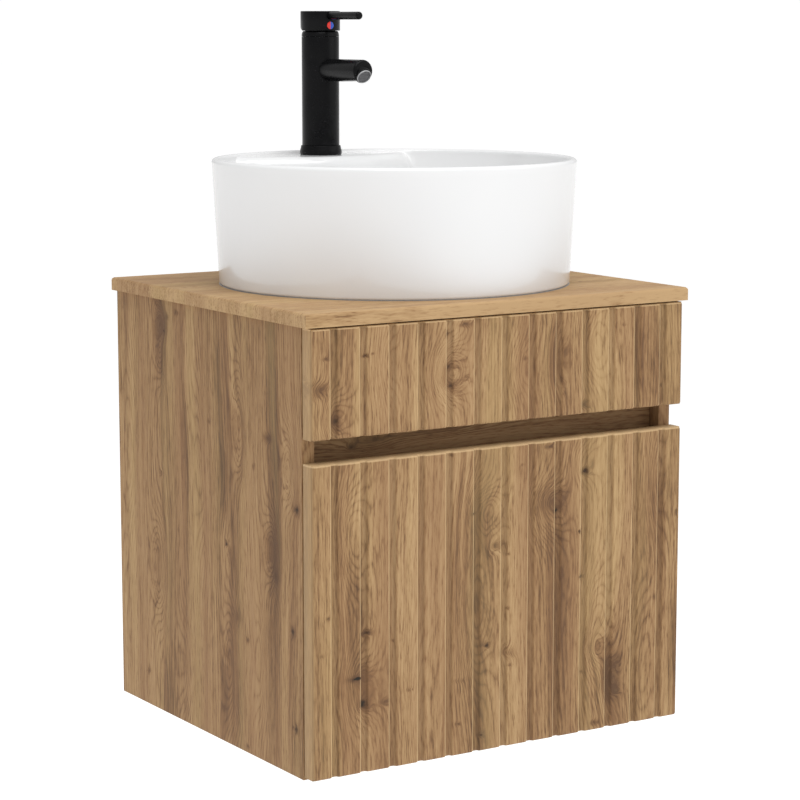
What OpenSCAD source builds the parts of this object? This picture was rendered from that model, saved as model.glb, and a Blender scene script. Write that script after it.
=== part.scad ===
// Wall-hung bathroom vanity: grooved two-front cabinet with one drawer, countertop board,
// round countertop basin and a tall single-lever mixer tap.
// X runs to the right, Y to the back, Z up. Origin: middle of the footprint, at the cabinet's bottom.

/* [Carcass] */
// Width over the two side panels
cabinet_w = 486; // [460:2:500]
// Height of the side panels
cabinet_h = 485; // [480:1:490]
// Thickness of the carcass boards
board = 15; // [14:0.5:16]
// Width of the flat rails
rail_h = 80; // [70:2:84]

/* [Countertop] */
// Width of the countertop
top_w = 500; // [490:2:540]
// Depth of the countertop
top_d = 450; // [446:1:460]
// Thickness of the countertop
top_t = 15; // [12:1:18]
// Rounding of its upper edges
top_round = 3.5; // [1:0.5:5]

/* [Fronts] */
// Thickness of the grooved fronts
front_t = 20; // [18:0.5:22]
// Bottom edge of the drawer front
front_low = 3.5; // [2:0.5:6]
// Top edge of the drawer front
drawer_front_top = 341; // [336:1:345]
// Bottom edge of the upper front
upper_front_low = 367; // [362:1:372]
// Top edge of the upper front
upper_front_top = 483.5; // [480:0.5:484]
// Gap between the side panels and the fronts
seam = 2; // [1.5:0.5:2.5]
// Rounding of the fronts' outer edges
front_round = 3; // [1:0.5:4]

/* [Grooves] */
// Distance between grooves
groove_pitch = 36; // [30:1:38]
// Number of grooves on each side of the middle one
groove_half = 6; // [3:1:6]
// Width of a groove at the face
groove_w = 10; // [8:0.5:12]
// Width of a groove's floor
groove_floor = 6; // [4:0.5:7]
// Depth of a groove
groove_d = 3; // [2:0.5:4]

/* [Grip] */
// How far the grip rail sits behind the side panels' front edges
grip_set_back = 17; // [14:1:20]
// Lower edge of the grip rail
grip_low = 318; // [310:1:322]

/* [Drawer] */
// Lower edge of the drawer box
box_low = 30; // [24:1:34]
// Height of the drawer box
box_h = 180; // [160:5:200]
// Length of the drawer box behind its front
box_len = 365; // [350:5:375]
// Thickness of the drawer bottom
base_t = 8; // [6:0.5:10]

/* [Slides] */
// Thickness of one slide
slide_t = 12.7; // [12.7:0.1:13]
// Length of the slides
slide_len = 350; // [340:5:360]
// Height of the slides' middle line
slide_z = 110; // [90:5:130]

/* [Basin] */
// Radius of the basin at its foot
basin_r_low = 201; // [198:0.5:203]
// Radius of the basin at its rim
basin_r_top = 208.4; // [206:0.2:210]
// Height of the basin
basin_h = 142.7; // [140:0.1:150]
// How far the tap deck lies below the rim
deck_drop = 3.7; // [3:0.1:5]
// Depth of the bowl
bowl_d = 120.7; // [118:0.1:124]
// Distance of the drain in front of the basin's middle
drain_forward = 35; // [20:1:45]

/* [Tap] */
// Distance of the tap behind the basin's middle
tap_back = 164; // [164:0.5:169]
// Radius of the tap body
tap_r = 22.25; // [22:0.05:22.5]
// Height of the seam between the tap body and its neck
tap_seam_z = 778.5; // [777:0.5:780]
// Height of the spout's axis
spout_z = 739.5; // [736:0.5:741]
// Radius of the spout
spout_r = 13; // [12:0.5:14]
// Reach of the spout from the tap's axis
spout_reach = 98; // [90:0.5:105]
// Reach of the lever from the tap's axis
lever_reach = 90; // [80:1:95]
// Radius of the lever
lever_r = 4.6; // [4:0.1:5]

/* [Hidden] */
$fn = 96;
half_w = cabinet_w / 2;
inner = half_w - board;
front_y = -top_d / 2;
front_back_y = front_y + front_t;
panel_y = front_back_y + seam;
back_y = top_d / 2;
panel_d = back_y - panel_y;
top_z = cabinet_h + top_t;
rim_z = top_z + basin_h;
deck_z = rim_z - deck_drop;
deck_t = 14;
bowl_z = rim_z - bowl_d;
grip_y = panel_y + grip_set_back;
rail_z = cabinet_h - rail_h;
fit = 0.05;
eps = 0.5;

// fittings of the boards
dowel_r = 4;
dowel_len = 30;
dowel_in_side = 10;
cam_bolt_r = 3;
cam_reach = 24;
cam_bolt_in_side = 11;
cam_r = 7.5;
cam_h = 12.5;
hanger_x = inner - 43;
hanger_z = rail_z + 45;
hanger_t = 1.5;
wall_hole_r = 4;
screw_r = 2;
screw_head_r = 3.5;

// slide sections
rail_half = 22.5;
sheet = 1.2;
ball_r = 2;
cage_t = 0.7;
ball_outer_z = rail_half - sheet - fit - ball_r;
mid_half = ball_outer_z - ball_r - fit;
ball_inner_z = mid_half - sheet - fit - ball_r;
inner_half = ball_inner_z - ball_r - fit;
slide_y = panel_y + 5;
mid_len = slide_len - 10;
cage_len = 150;
ball_pitch = 24;
box_x = inner - slide_t;
box_in = box_x - board;
box_y = front_back_y;
box_back_y = box_y + box_len;
floor_z = box_low + 10;
groove_in = 6;

// basin and waste
lip_r = 4.2;
foot_r = 3.5;
ledge_r = 180;
ledge_y = 290;
drain_r = 22.5;
waste_r = 20.96;
waste_low = 425;
tail_r = 16;
tail_len = 30;
flange_r = 35;
waste_seat = 2.5;
plug_r = 30;

// tap
base_z = deck_z;
base_h = 11;
base_r = 25;
cartridge_r = 17.5;
cartridge_low = 750;
neck_top = 785.2;
collar_r = 18.4;
collar_top = 790;
cap_low = 785.5;
cap_top = 808.5;
cap_r = 23.5;
cap_in = 21;
tilt_z = 796;
tilt_cut = 23;
lever_z = 803;
dot_r = 4.5;
dot_z = 791.7;
shank_r = 16;
tap_nut_r = 21.5;
shank_low = 575;
inlet_x = 7;
inlet_r = 4.5;
inlet_len = 12;
outlet_y = 99.5;
outlet_z = 732.4;
outlet_tilt = 35;
nose_len = 18;
tenon_r = 9;
nose_r = 9.8;
housing_r = 8.8;
mesh_r = 8;

oak = [0.66, 0.55, 0.42];
steel = [0.72, 0.73, 0.75];
black = [0.05, 0.05, 0.05];
white = [0.94, 0.94, 0.93];

// ---------- helpers ----------

module block(x0, x1, y0, y1, z0, z1)
    translate([x0, y0, z0]) cube([x1 - x0, y1 - y0, z1 - z0]);

module rod_x(x0, x1, y, z, r)
    translate([x0, y, z]) rotate([0, 90, 0]) cylinder(h = x1 - x0, r = r);

module rod_y(y0, y1, x, z, r)
    translate([x, y0, z]) rotate([-90, 0, 0]) cylinder(h = y1 - y0, r = r);

module rod_z(z0, z1, x, y, r)
    translate([x, y, z0]) cylinder(h = z1 - z0, r = r);

module both_sides() {
    children();
    mirror([1, 0, 0]) children();
}

// a rectangle with two rounded corners on its low second axis
module soft_plate(w, d, r) {
    translate([-w / 2, r]) square([w, d - r]);
    translate([r - w / 2, 0]) square([w - 2 * r, r + eps]);
    for (s = [-1, 1]) translate([s * (w / 2 - r), r]) circle(r = r);
}

// ---------- fittings: places of dowels, cam bolts and cam locks (right-hand side) ----------

function dowel_spots() = [
    [-150, board / 2], [180, board / 2],
    [back_y - board / 2, rail_z + 15], [back_y - board / 2, rail_z + 65],
    [back_y - board / 2, board + 17], [back_y - board / 2, board + 63],
    [front_back_y + 9.5, rail_z + 15], [front_back_y + 9.5, rail_z + 65],
    [grip_y + board / 2, grip_low + 15], [grip_y + board / 2, grip_low + 65]];

// the last number turns the lock: 0 opens to the front, 1 to the back, 2 upwards
function cam_spots() = [
    [-60, board / 2, 2], [100, board / 2, 2],
    [back_y - board / 2, rail_z + 40, 0], [back_y - board / 2, board + 40, 0],
    [front_back_y + board / 2, rail_z + 40, 1], [grip_y + board / 2, grip_low + 40, 1]];

module dowel_holes(grow = 0)
    both_sides() for (p = dowel_spots())
        rod_x(inner + dowel_in_side - dowel_len - grow, inner + dowel_in_side + grow, p[0], p[1],
            dowel_r + grow);

module cam_bolt_holes(grow = 0)
    both_sides() for (p = cam_spots())
        rod_x(inner - cam_reach - 4 - grow, inner + cam_bolt_in_side + grow, p[0], p[1],
            cam_bolt_r + grow);

module cam_discs(grow = 0)
    both_sides() for (p = cam_spots()) {
        if (p[2] == 2) rod_z(board - cam_h - grow, board + grow, inner - cam_reach, p[0], cam_r + grow);
        if (p[2] == 0) rod_y(p[0] - board / 2 - grow, p[0] - board / 2 + cam_h + grow,
            inner - cam_reach, p[1], cam_r + grow);
        if (p[2] == 1) rod_y(p[0] + board / 2 - cam_h - grow, p[0] + board / 2 + grow,
            inner - cam_reach, p[1], cam_r + grow);
    }

module board_fittings() {
    dowel_holes(fit);
    cam_bolt_holes(fit);
    cam_discs(fit);
}

module carcass_dowels() color([0.8, 0.68, 0.48]) dowel_holes();

module cam_bolts() color(steel) cam_bolt_holes();

module cam_locks() color(steel) difference() {
    cam_discs();
    cam_bolt_holes(fit);
}

// ---------- carcass ----------

slide_screw_y = [slide_y + 30, slide_y + 175, slide_y + 320];
bracket_y = [-110, 140];
bracket_w = 24;
bracket_leg = 22;
bracket_t = 1.5;
bracket_screw_len = 10;

module slide_cabinet_screws(grow = 0) color(steel) both_sides() for (y = slide_screw_y) {
    rod_x(inner - sheet - 0.4, inner - sheet, y, slide_z, screw_head_r + grow);
    rod_x(inner - sheet - 0.2, inner + 11 + grow, y, slide_z, screw_r + grow);
}

module bracket_screws(grow = 0) color(steel) both_sides() for (y = bracket_y) {
    rod_x(inner - bracket_t - 2, inner - bracket_t, y, cabinet_h - 14, screw_head_r);
    rod_x(inner - bracket_t - 1, inner + bracket_screw_len, y, cabinet_h - 14, screw_r + grow);
    rod_z(cabinet_h - bracket_t - 2, cabinet_h - bracket_t, inner - 14, y, screw_head_r);
    rod_z(cabinet_h - bracket_t - 1, cabinet_h + bracket_screw_len, inner - 14, y, screw_r + grow);
}

module hanger_screws(grow = 0) color(steel) both_sides() for (z = [hanger_z - 12, hanger_z + 12]) {
    rod_x(inner - hanger_t - 2, inner - hanger_t, back_y - board - 25, z, screw_head_r);
    rod_x(inner - hanger_t - 1, inner + 11, back_y - board - 25, z, screw_r + grow);
}

module side_panel() difference() {
    block(inner, half_w, panel_y, back_y, 0, cabinet_h);
    board_fittings();
    slide_cabinet_screws(fit);
    bracket_screws(fit);
    hanger_screws(fit);
}

module right_side_panel() color(oak) side_panel();
module left_side_panel() color(oak) mirror([1, 0, 0]) side_panel();

module cross_board(y0, y1, z0, z1) difference() {
    block(-inner, inner, y0, y1, z0, z1);
    board_fittings();
}

module bottom_panel() color(oak) cross_board(panel_y, back_y - board, 0, board);

module back_top_rail() color(oak) difference() {
    cross_board(back_y - board, back_y, rail_z, cabinet_h);
    for (s = [-1, 1]) rod_y(back_y - board - 1, back_y + 1, s * hanger_x, hanger_z, wall_hole_r);
}

module back_bottom_rail() color(oak) cross_board(back_y - board, back_y, board, board + rail_h);

front_screw_x = 180;
front_screw_z = [rail_z + 22, rail_z + 58];
front_screw_len = 12;

module upper_front_screws(grow = 0) color(steel)
    for (x = [-front_screw_x, 0, front_screw_x], z = front_screw_z) {
        rod_y(front_back_y + board, front_back_y + board + 2, x, z, screw_head_r);
        rod_y(front_back_y - front_screw_len - grow, front_back_y + board + 1, x, z, screw_r + grow);
    }

module front_top_rail() color(oak) difference() {
    cross_board(front_back_y, front_back_y + board, rail_z, cabinet_h);
    upper_front_screws(fit);
}

module grip_rail() color(oak) cross_board(grip_y, grip_y + board, grip_low, grip_low + rail_h);

module countertop_brackets() color(steel) difference() {
    both_sides() for (y = bracket_y) {
        y0 = y - bracket_w / 2;
        y1 = y + bracket_w / 2;
        block(inner - bracket_t, inner, y0, y1, cabinet_h - bracket_leg, cabinet_h);
        block(inner - bracket_leg, inner, y0, y1, cabinet_h - bracket_t, cabinet_h);
    }
    bracket_screws(fit);
}

module wall_hangers() color(steel) difference() {
    both_sides() {
        rail_y = back_y - board;
        block(inner - hanger_t, inner, rail_y - 40, rail_y, hanger_z - 22, hanger_z + 22);
        block(inner - 62, inner, rail_y - hanger_t, rail_y, hanger_z - 22, hanger_z + 22);
    }
    hanger_screws(fit);
    both_sides() rod_y(back_y - board - 5, back_y, hanger_x, hanger_z, wall_hole_r);
}

bumper_z = [25, 325];

module front_bumpers() color([0.85, 0.85, 0.85]) both_sides() for (z = bumper_z)
    rod_y(front_back_y, panel_y, half_w - board / 2, z, 4);

// ---------- countertop ----------

tap_cutout_r = 38;
waste_hole_r = 25;

module countertop() color(oak) difference() {
    intersection() {
        translate([0, back_y, top_z]) rotate([90, 0, 0]) linear_extrude(top_d)
            mirror([0, 1]) soft_plate(top_w, top_t, top_round);
        translate([-top_w / 2, 0, top_z]) rotate([90, 0, 90]) linear_extrude(top_w)
            mirror([0, 1]) soft_plate(top_d, top_t, top_round);
    }
    rod_z(cabinet_h - 1, top_z + 1, 0, tap_back - 10, tap_cutout_r);
    rod_z(cabinet_h - 1, top_z + 1, 0, -drain_forward, waste_hole_r);
    bracket_screws(fit);
}

// ---------- grooved fronts ----------

module groove_plan(x) translate([x, front_y])
    polygon([[-groove_w / 2 - 0.7, -1], [-groove_w / 2, 0], [-groove_floor / 2, groove_d],
        [groove_floor / 2, groove_d], [groove_w / 2, 0], [groove_w / 2 + 0.7, -1]]);

module grooved_front(z0, z1) intersection() {
    translate([0, 0, z0]) linear_extrude(z1 - z0) difference() {
        translate([0, front_y]) soft_plate(cabinet_w, front_t, front_round);
        for (i = [-groove_half : groove_half]) groove_plan(i * groove_pitch);
    }
    translate([-half_w, front_y, (z0 + z1) / 2]) rotate([90, 0, 90]) linear_extrude(cabinet_w)
        rotate(-90) soft_plate(z1 - z0, front_t, front_round);
}

module upper_front() color(oak) difference() {
    grooved_front(upper_front_low, upper_front_top);
    upper_front_screws(fit);
}

drawer_screw_x = 150;
drawer_screw_z = [box_low + 50, box_low + 140];

module drawer_front_screws(grow = 0) color(steel)
    for (x = [-drawer_screw_x, drawer_screw_x], z = drawer_screw_z) {
        rod_y(box_y + board, box_y + board + 2, x, z, screw_head_r);
        rod_y(box_y - front_screw_len - grow, box_y + board + 1, x, z, screw_r + grow);
    }

module drawer_front() color(oak) difference() {
    grooved_front(front_low, drawer_front_top);
    drawer_front_screws(fit);
}

// ---------- drawer box ----------

corner_screw_z = [box_low + 40, box_low + 150];
corner_screw_y = [box_y + board / 2, box_back_y - board / 2];

module drawer_screws(grow = 0) color(steel) both_sides() for (y = corner_screw_y, z = corner_screw_z)
    rod_x(box_in - 25 - grow, box_x - 1, y, z, screw_r + grow);

module slide_drawer_screws(grow = 0) color(steel) both_sides() for (y = slide_screw_y) {
    rod_x(box_x + sheet, box_x + sheet + 0.4, y, slide_z, screw_head_r + grow);
    rod_x(box_x - 11 - grow, box_x + sheet + 0.2, y, slide_z, screw_r + grow);
}

module drawer_floor_slot(grow = 0)
    block(-box_in - groove_in - grow, box_in + groove_in + grow, box_y + board - groove_in - grow,
        box_back_y - board + groove_in + grow, floor_z - grow, floor_z + base_t + grow);

module drawer_bottom() color(oak) drawer_floor_slot();

module drawer_side() difference() {
    block(box_in, box_x, box_y, box_back_y, box_low, box_low + box_h);
    drawer_floor_slot(fit);
    drawer_screws(fit);
    both_sides() for (y = corner_screw_y, z = corner_screw_z)
        rod_x(box_x - 1 - fit, box_x + 1, y, z, screw_r + fit);
    slide_drawer_screws(fit);
}

module drawer_right_side() color(oak) drawer_side();
module drawer_left_side() color(oak) mirror([1, 0, 0]) drawer_side();

module drawer_cross(y0) difference() {
    block(-box_in, box_in, y0, y0 + board, box_low, box_low + box_h);
    drawer_floor_slot(fit);
    drawer_screws(fit);
    drawer_front_screws(fit);
}

module drawer_inner_front() color(oak) drawer_cross(box_y);
module drawer_back() color(oak) drawer_cross(box_back_y - board);

// ---------- slides (right-hand side, web towards the side panel) ----------

module channel(x_web, x_edge, half, y0, y1) {
    x_in = x_web + sign(x_edge - x_web) * sheet;
    block(min(x_web, x_in), max(x_web, x_in), y0, y1, slide_z - half, slide_z + half);
    for (z = [slide_z - half, slide_z + half - sheet])
        block(min(x_web, x_edge), max(x_web, x_edge), y0, y1, z, z + sheet);
}

module outer_rail() difference() {
    channel(inner, inner - 10, rail_half, slide_y, slide_y + slide_len);
    slide_cabinet_screws(fit);
}

module middle_rail() channel(inner - 3, inner - 10.5, mid_half, slide_y, slide_y + mid_len);

module inner_rail() difference() {
    channel(inner - slide_t, inner - 6.4, inner_half, slide_y, slide_y + slide_len);
    slide_drawer_screws(fit);
}

// a strip cage with two rows of balls
module ball_cage(x_web, x_edge, z_ball, x_ball) {
    y0 = slide_y + (mid_len - cage_len) / 2;
    y1 = y0 + cage_len;
    half_t = cage_t / 2;
    block(x_web - cage_t, x_web, y0, y1, slide_z - z_ball - half_t, slide_z + z_ball + half_t);
    for (z = [slide_z - z_ball, slide_z + z_ball]) {
        block(x_edge, x_web, y0, y1, z - half_t, z + half_t);
        for (i = [0 : 5]) translate([x_ball, y0 + 15 + i * ball_pitch, z]) sphere(r = ball_r, $fn = 24);
    }
}

module slide_outer_right() color(steel) outer_rail();
module slide_outer_left() color(steel) mirror([1, 0, 0]) outer_rail();
module slide_middle_right() color(steel) middle_rail();
module slide_middle_left() color(steel) mirror([1, 0, 0]) middle_rail();
module slide_inner_right() color(steel) inner_rail();
module slide_inner_left() color(steel) mirror([1, 0, 0]) inner_rail();
module ball_cages_outer() color(steel) both_sides()
    ball_cage(inner - 1.75, inner - 9, ball_outer_z, inner - 6.5);
module ball_cages_inner() color(steel) both_sides()
    ball_cage(inner - 4.95, inner - 11, ball_inner_z, inner - 8.5);

// ---------- basin ----------

function arc_points(cx, cz, rx, rz, a0, a1, n) =
    [for (i = [0 : n]) let (a = a0 + (a1 - a0) * i / n) [cx + rx * cos(a), cz + rz * sin(a)]];

module basin_outline() polygon(concat([[0, top_z]],
    arc_points(basin_r_low - foot_r, top_z + foot_r, foot_r, foot_r, -90, 0, 5),
    arc_points(basin_r_top - lip_r, rim_z - lip_r, lip_r, lip_r, 0, 180, 10),
    arc_points(120, bowl_z + 60, basin_r_top - 14.4 - 120, 60, 0, -90, 10), [[0, bowl_z]]));

module ledge(wall, z0, z1) intersection() {
    rod_z(z0, z1, 0, 0, basin_r_top - 8.4 - wall);
    rod_z(z0, z1, 0, ledge_y, ledge_r - wall);
}

module basin() color(white) difference() {
    union() {
        rotate_extrude() basin_outline();
        ledge(0, top_z + 10, deck_z);
    }
    ledge(12, top_z - 1, deck_z - deck_t);
    rod_z(deck_z - deck_t - 1, deck_z + 1, 0, tap_back, shank_r + 1.5);
    rod_z(top_z - 1, bowl_z + 1, 0, -drain_forward, drain_r);
    rod_z(bowl_z - waste_seat, bowl_z + 1, 0, -drain_forward, flange_r + 1);
}

module basin_sealant() color([0.85, 0.85, 0.83]) rotate_extrude()
    polygon([[basin_r_low - 2.4, top_z], [basin_r_low + 0.2, top_z], [basin_r_low - 1, top_z + 0.7]]);

// ---------- waste ----------

flange_z = bowl_z - waste_seat;
flange_tube_r = 19.4;
plug_stem_r = 4;

module at_drain() translate([0, -drain_forward, 0]) children();

module waste_flange() color(steel) at_drain() rotate_extrude()
    polygon([[flange_tube_r - 1.5, flange_z - 20], [flange_tube_r, flange_z - 20], [flange_tube_r, flange_z],
        [flange_r, flange_z], [flange_r, flange_z + 2], [flange_r - 3, flange_z + 4],
        [flange_tube_r + 2, flange_z + 3.5], [flange_tube_r - 1.5, flange_z]]);

module waste_plug() color(steel) at_drain() rotate_extrude()
    polygon([[0, flange_z - 45], [plug_stem_r, flange_z - 45], [plug_stem_r, flange_z + 4.1],
        [plug_r - 1, flange_z + 4.1], [plug_r, flange_z + 5], [plug_r, flange_z + 6.5],
        [plug_r - 1.5, flange_z + 7.6], [plug_r / 2, flange_z + 8.4], [0, flange_z + 8.6]]);

module waste_tail() color(steel) at_drain() difference() {
    union() {
        difference() {
            rod_z(waste_low + tail_len, flange_z - fit, 0, 0, waste_r);
            rod_z(waste_low + tail_len + 2, flange_z + 1, 0, 0, flange_tube_r + fit);
        }
        rod_z(waste_low, waste_low + tail_len + 1, 0, 0, tail_r);
        rod_z(flange_z - 45, flange_z - 30, 0, 0, plug_stem_r + 3);
        for (a = [0, 120, 240]) rotate(a)
            block(5, flange_tube_r + 0.8, -1.5, 1.5, flange_z - 42, flange_z - 34);
    }
    rod_z(waste_low + tail_len + 3, flange_z, 0, 0, plug_stem_r + fit);
    rod_z(waste_low - 1, waste_low + tail_len + 3, 0, 0, tail_r - 1.5);
}

module waste_washer() color([0.1, 0.1, 0.1]) at_drain() difference() {
    rod_z(cabinet_h - 3, cabinet_h, 0, 0, 33);
    rod_z(cabinet_h - 4, cabinet_h + 1, 0, 0, waste_r + fit);
}

module waste_nut() color(steel) at_drain() difference() {
    translate([0, 0, cabinet_h - 14]) cylinder(h = 11, r = 31, $fn = 6);
    rod_z(cabinet_h - 15, cabinet_h, 0, 0, waste_r + fit);
}

// ---------- tap ----------

module at_tap() translate([0, tap_back, 0]) children();

module tap_base_ring() color(black) at_tap() rotate_extrude()
    polygon(concat([[shank_r + fit, base_z + 2], [20, base_z + 2], [20, base_z + 1], [22.6, base_z + 1],
        [22.6, base_z]],
        arc_points(base_r - 2, base_z + 2, 2, 2, -90, 0, 4),
        [[base_r, base_z + 4], [cap_r, base_z + base_h], [shank_r + fit, base_z + base_h]]));

module tap_gasket() color([0.12, 0.12, 0.12]) at_tap() rotate_extrude()
    polygon([[20.1, base_z], [22.5, base_z], [22.5, base_z + 1], [20.1, base_z + 1]]);

module tap_body() color(black) at_tap() difference() {
    rod_z(base_z + base_h, tap_seam_z, 0, 0, tap_r);
    rod_z(base_z + base_h - 1, base_z + base_h + 14, 0, 0, shank_r + fit);
    rod_z(base_z + base_h, cartridge_low + 1, 0, 0, 13);
    rod_z(cartridge_low, tap_seam_z + 1, 0, 0, cartridge_r + fit);
    rod_y(-tap_r - 2, 0, 0, spout_z, tenon_r + fit);
}

module tap_neck_ring() color(black) at_tap() rotate_extrude()
    polygon(concat([[cartridge_r + fit, tap_seam_z], [tap_r + 0.1, tap_seam_z]],
        arc_points(tap_r - 2.4, tap_seam_z, 2.5, neck_top - tap_seam_z, 0, 80, 8),
        [[collar_r, neck_top], [collar_r, collar_top], [cartridge_r + fit, collar_top]]));

// its origin is the middle of the outlet's face and its Z axis points out of the spout
module at_outlet() translate([0, -outlet_y, outlet_z]) rotate([90 + outlet_tilt, 0, 0]) children();

// the spout's end cap is a turned profile along the spout's axis
module spout_rod() translate([0, 0, spout_z]) rotate([90, 0, 0]) rotate_extrude()
    polygon([[0, 15], [spout_r, 15], [spout_r, spout_reach - 3], [spout_r - 1, spout_reach - 1],
        [spout_r - 3, spout_reach], [0, spout_reach]]);

module tap_spout() color(black) at_tap() difference() {
    union() {
        difference() {
            spout_rod();
            rod_z(spout_z - 20, spout_z + 20, 0, 0, tap_r);
        }
        rod_y(-tap_r - 1, -14, 0, spout_z, tenon_r);
        at_outlet() translate([0, 0, -nose_len]) cylinder(h = nose_len - 1.5, r = nose_r);
    }
    rod_y(-spout_reach + 6, -13, 0, spout_z, 5);
    at_outlet() translate([0, 0, -9]) cylinder(h = 12, r = housing_r + fit);
}

module aerator_housing() color([0.75, 0.75, 0.75]) at_tap() at_outlet() difference() {
    translate([0, 0, -9 + fit]) cylinder(h = 9 - fit, r = housing_r);
    translate([0, 0, -10]) cylinder(h = 11, r = mesh_r);
}

module aerator_insert() color([0.7, 0.7, 0.7]) at_tap() at_outlet()
    translate([0, 0, -7]) cylinder(h = 6.4, r = mesh_r - fit);

module cartridge() color([0.9, 0.9, 0.88]) at_tap() difference() {
    rod_z(cartridge_low, neck_top, 0, 0, cartridge_r);
    rod_z(neck_top - 14, neck_top + 1, 0, 0, 5 + fit);
}

stem_half = 4;
pin_r = 2;
pin_half = 9;

module cartridge_stem() color(steel) at_tap() difference() {
    union() {
        rod_z(neck_top - 13, neck_top + 3, 0, 0, 5);
        rod_z(neck_top + 0.2, neck_top + 5, 0, 0, 10);
        block(-stem_half, stem_half, -stem_half, stem_half, neck_top + 4, tilt_z + 4);
    }
    rod_x(-pin_half, pin_half, 0, tilt_z, pin_r + fit);
}

module handle_pin() color(steel) at_tap() rod_x(-pin_half, pin_half, 0, tilt_z, pin_r);

module cap_dot(r, depth) at_tap() rod_y(-cap_r - 0.3, -cap_r + depth, 0, dot_z, r);

module tap_handle() color(black) difference() {
    at_tap() difference() {
        union() {
            difference() {
                rotate_extrude() polygon([[0, cap_low], [cap_r - 0.4, cap_low], [cap_r, cap_low + 0.4],
                    [cap_r, cap_top - 0.8], [cap_r - 0.8, cap_top], [0, cap_top]]);
                rod_z(cap_low - 1, cap_top - 5, 0, 0, cap_in);
            }
            for (s = [-1, 1]) block(s * 6.8 - 2.2, s * 6.8 + 2.2, -4, 4, tilt_z - 4, cap_top - 4);
            block(-7, 7, -cap_in, -13, lever_z - 6, cap_top - 4);
        }
        rod_x(-20, 20, 0, tilt_z, pin_r);
        rod_y(-lever_reach, -14, 0, lever_z, lever_r);
        translate([-30, 3, cap_low]) rotate([tilt_cut, 0, 0]) translate([0, 0, -20]) cube([60, 40, 20]);
    }
    cap_dot(dot_r, 1.5);
}

// the lever's tip is a turned profile along its axis
module tap_lever() color(black) at_tap() translate([0, 0, lever_z]) rotate([90, 0, 0]) rotate_extrude()
    polygon(concat([[0, 14], [lever_r, 14]],
        arc_points(lever_r - 3, lever_reach - 3, 3, 3, 0, 90, 5), [[0, lever_reach]]));

module dot_half(side) intersection() {
    cap_dot(dot_r - fit, 1.5);
    block(side > 0 ? 0 : -10, side > 0 ? 10 : 0, tap_back - 30, tap_back, dot_z - 10, dot_z + 10);
}

module indicator_red() color([0.8, 0.1, 0.1]) dot_half(-1);
module indicator_blue() color([0.1, 0.2, 0.8]) dot_half(1);

module tap_shank() color(steel) at_tap() difference() {
    rod_z(shank_low, base_z + base_h + 13, 0, 0, shank_r);
    rod_z(shank_low + inlet_len, base_z + base_h + 14, 0, 0, shank_r - 3);
    for (s = [-1, 1]) rod_z(shank_low - 1, shank_low + inlet_len + 1, s * inlet_x, 0, inlet_r);
}

module tap_nut() color([0.78, 0.65, 0.35]) at_tap() difference() {
    union() {
        rod_z(deck_z - deck_t - 3, deck_z - deck_t, 0, 0, tap_nut_r - 1);
        translate([0, 0, deck_z - deck_t - 12]) cylinder(h = 9.5, r = tap_nut_r, $fn = 6);
    }
    rod_z(deck_z - deck_t - 20, deck_z, 0, 0, shank_r + fit);
}

left_side_panel();
right_side_panel();
bottom_panel();
back_top_rail();
back_bottom_rail();
front_top_rail();
grip_rail();
carcass_dowels();
cam_bolts();
cam_locks();
countertop();
countertop_brackets();
bracket_screws();
wall_hangers();
hanger_screws();
upper_front();
upper_front_screws();
front_bumpers();
drawer_front();
drawer_inner_front();
drawer_left_side();
drawer_right_side();
drawer_back();
drawer_bottom();
drawer_front_screws();
drawer_screws();
slide_outer_left();
slide_outer_right();
slide_middle_left();
slide_middle_right();
slide_inner_left();
slide_inner_right();
ball_cages_outer();
ball_cages_inner();
slide_cabinet_screws();
slide_drawer_screws();
basin();
basin_sealant();
waste_flange();
waste_plug();
waste_tail();
waste_nut();
waste_washer();
tap_base_ring();
tap_body();
tap_spout();
aerator_housing();
aerator_insert();
tap_neck_ring();
cartridge();
cartridge_stem();
handle_pin();
tap_handle();
tap_lever();
indicator_red();
indicator_blue();
tap_shank();
tap_gasket();
tap_nut();
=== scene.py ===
import math

import bmesh
import bpy
import numpy as np
from mathutils import Matrix, Vector


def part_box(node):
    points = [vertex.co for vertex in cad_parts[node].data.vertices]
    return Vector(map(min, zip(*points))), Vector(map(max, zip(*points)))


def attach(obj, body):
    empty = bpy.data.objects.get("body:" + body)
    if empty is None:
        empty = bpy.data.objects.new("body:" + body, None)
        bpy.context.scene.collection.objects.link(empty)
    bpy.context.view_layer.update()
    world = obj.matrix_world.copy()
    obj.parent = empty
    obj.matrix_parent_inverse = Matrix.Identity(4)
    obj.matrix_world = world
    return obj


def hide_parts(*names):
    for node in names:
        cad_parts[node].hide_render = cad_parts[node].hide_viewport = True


MM = 0.001

# The camera: place in metres, turn and tilt in degrees, focal length in mm.
CAMERA_PLACE = (-1.5356, -2.4203, 0.7958)
CAMERA_TURN = 32.524
CAMERA_TILT = -8.595
CAMERA_LENS = 112.58
CAMERA_SENSOR = 36.0

# The room. Each light is (name, place, target, side in metres, power in watts).
LIGHTS = [
    ("key", (2.4, -2.4, 1.7), (0, 0, 0.35), 2.2, 10),
    ("top", (-0.2, -0.9, 2.5), (0, 0, 0.5), 2.0, 36),
]
WORLD_LIGHT = 0.64  # strength of the white room as it lights the object
WORLD_SEEN = 1.02  # its strength as the camera sees it
FLOOR_GLOW = 0.41  # brings the far floor up to white
FLOOR_Z = -0.3
FLOOR_HALF = 60.0

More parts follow.
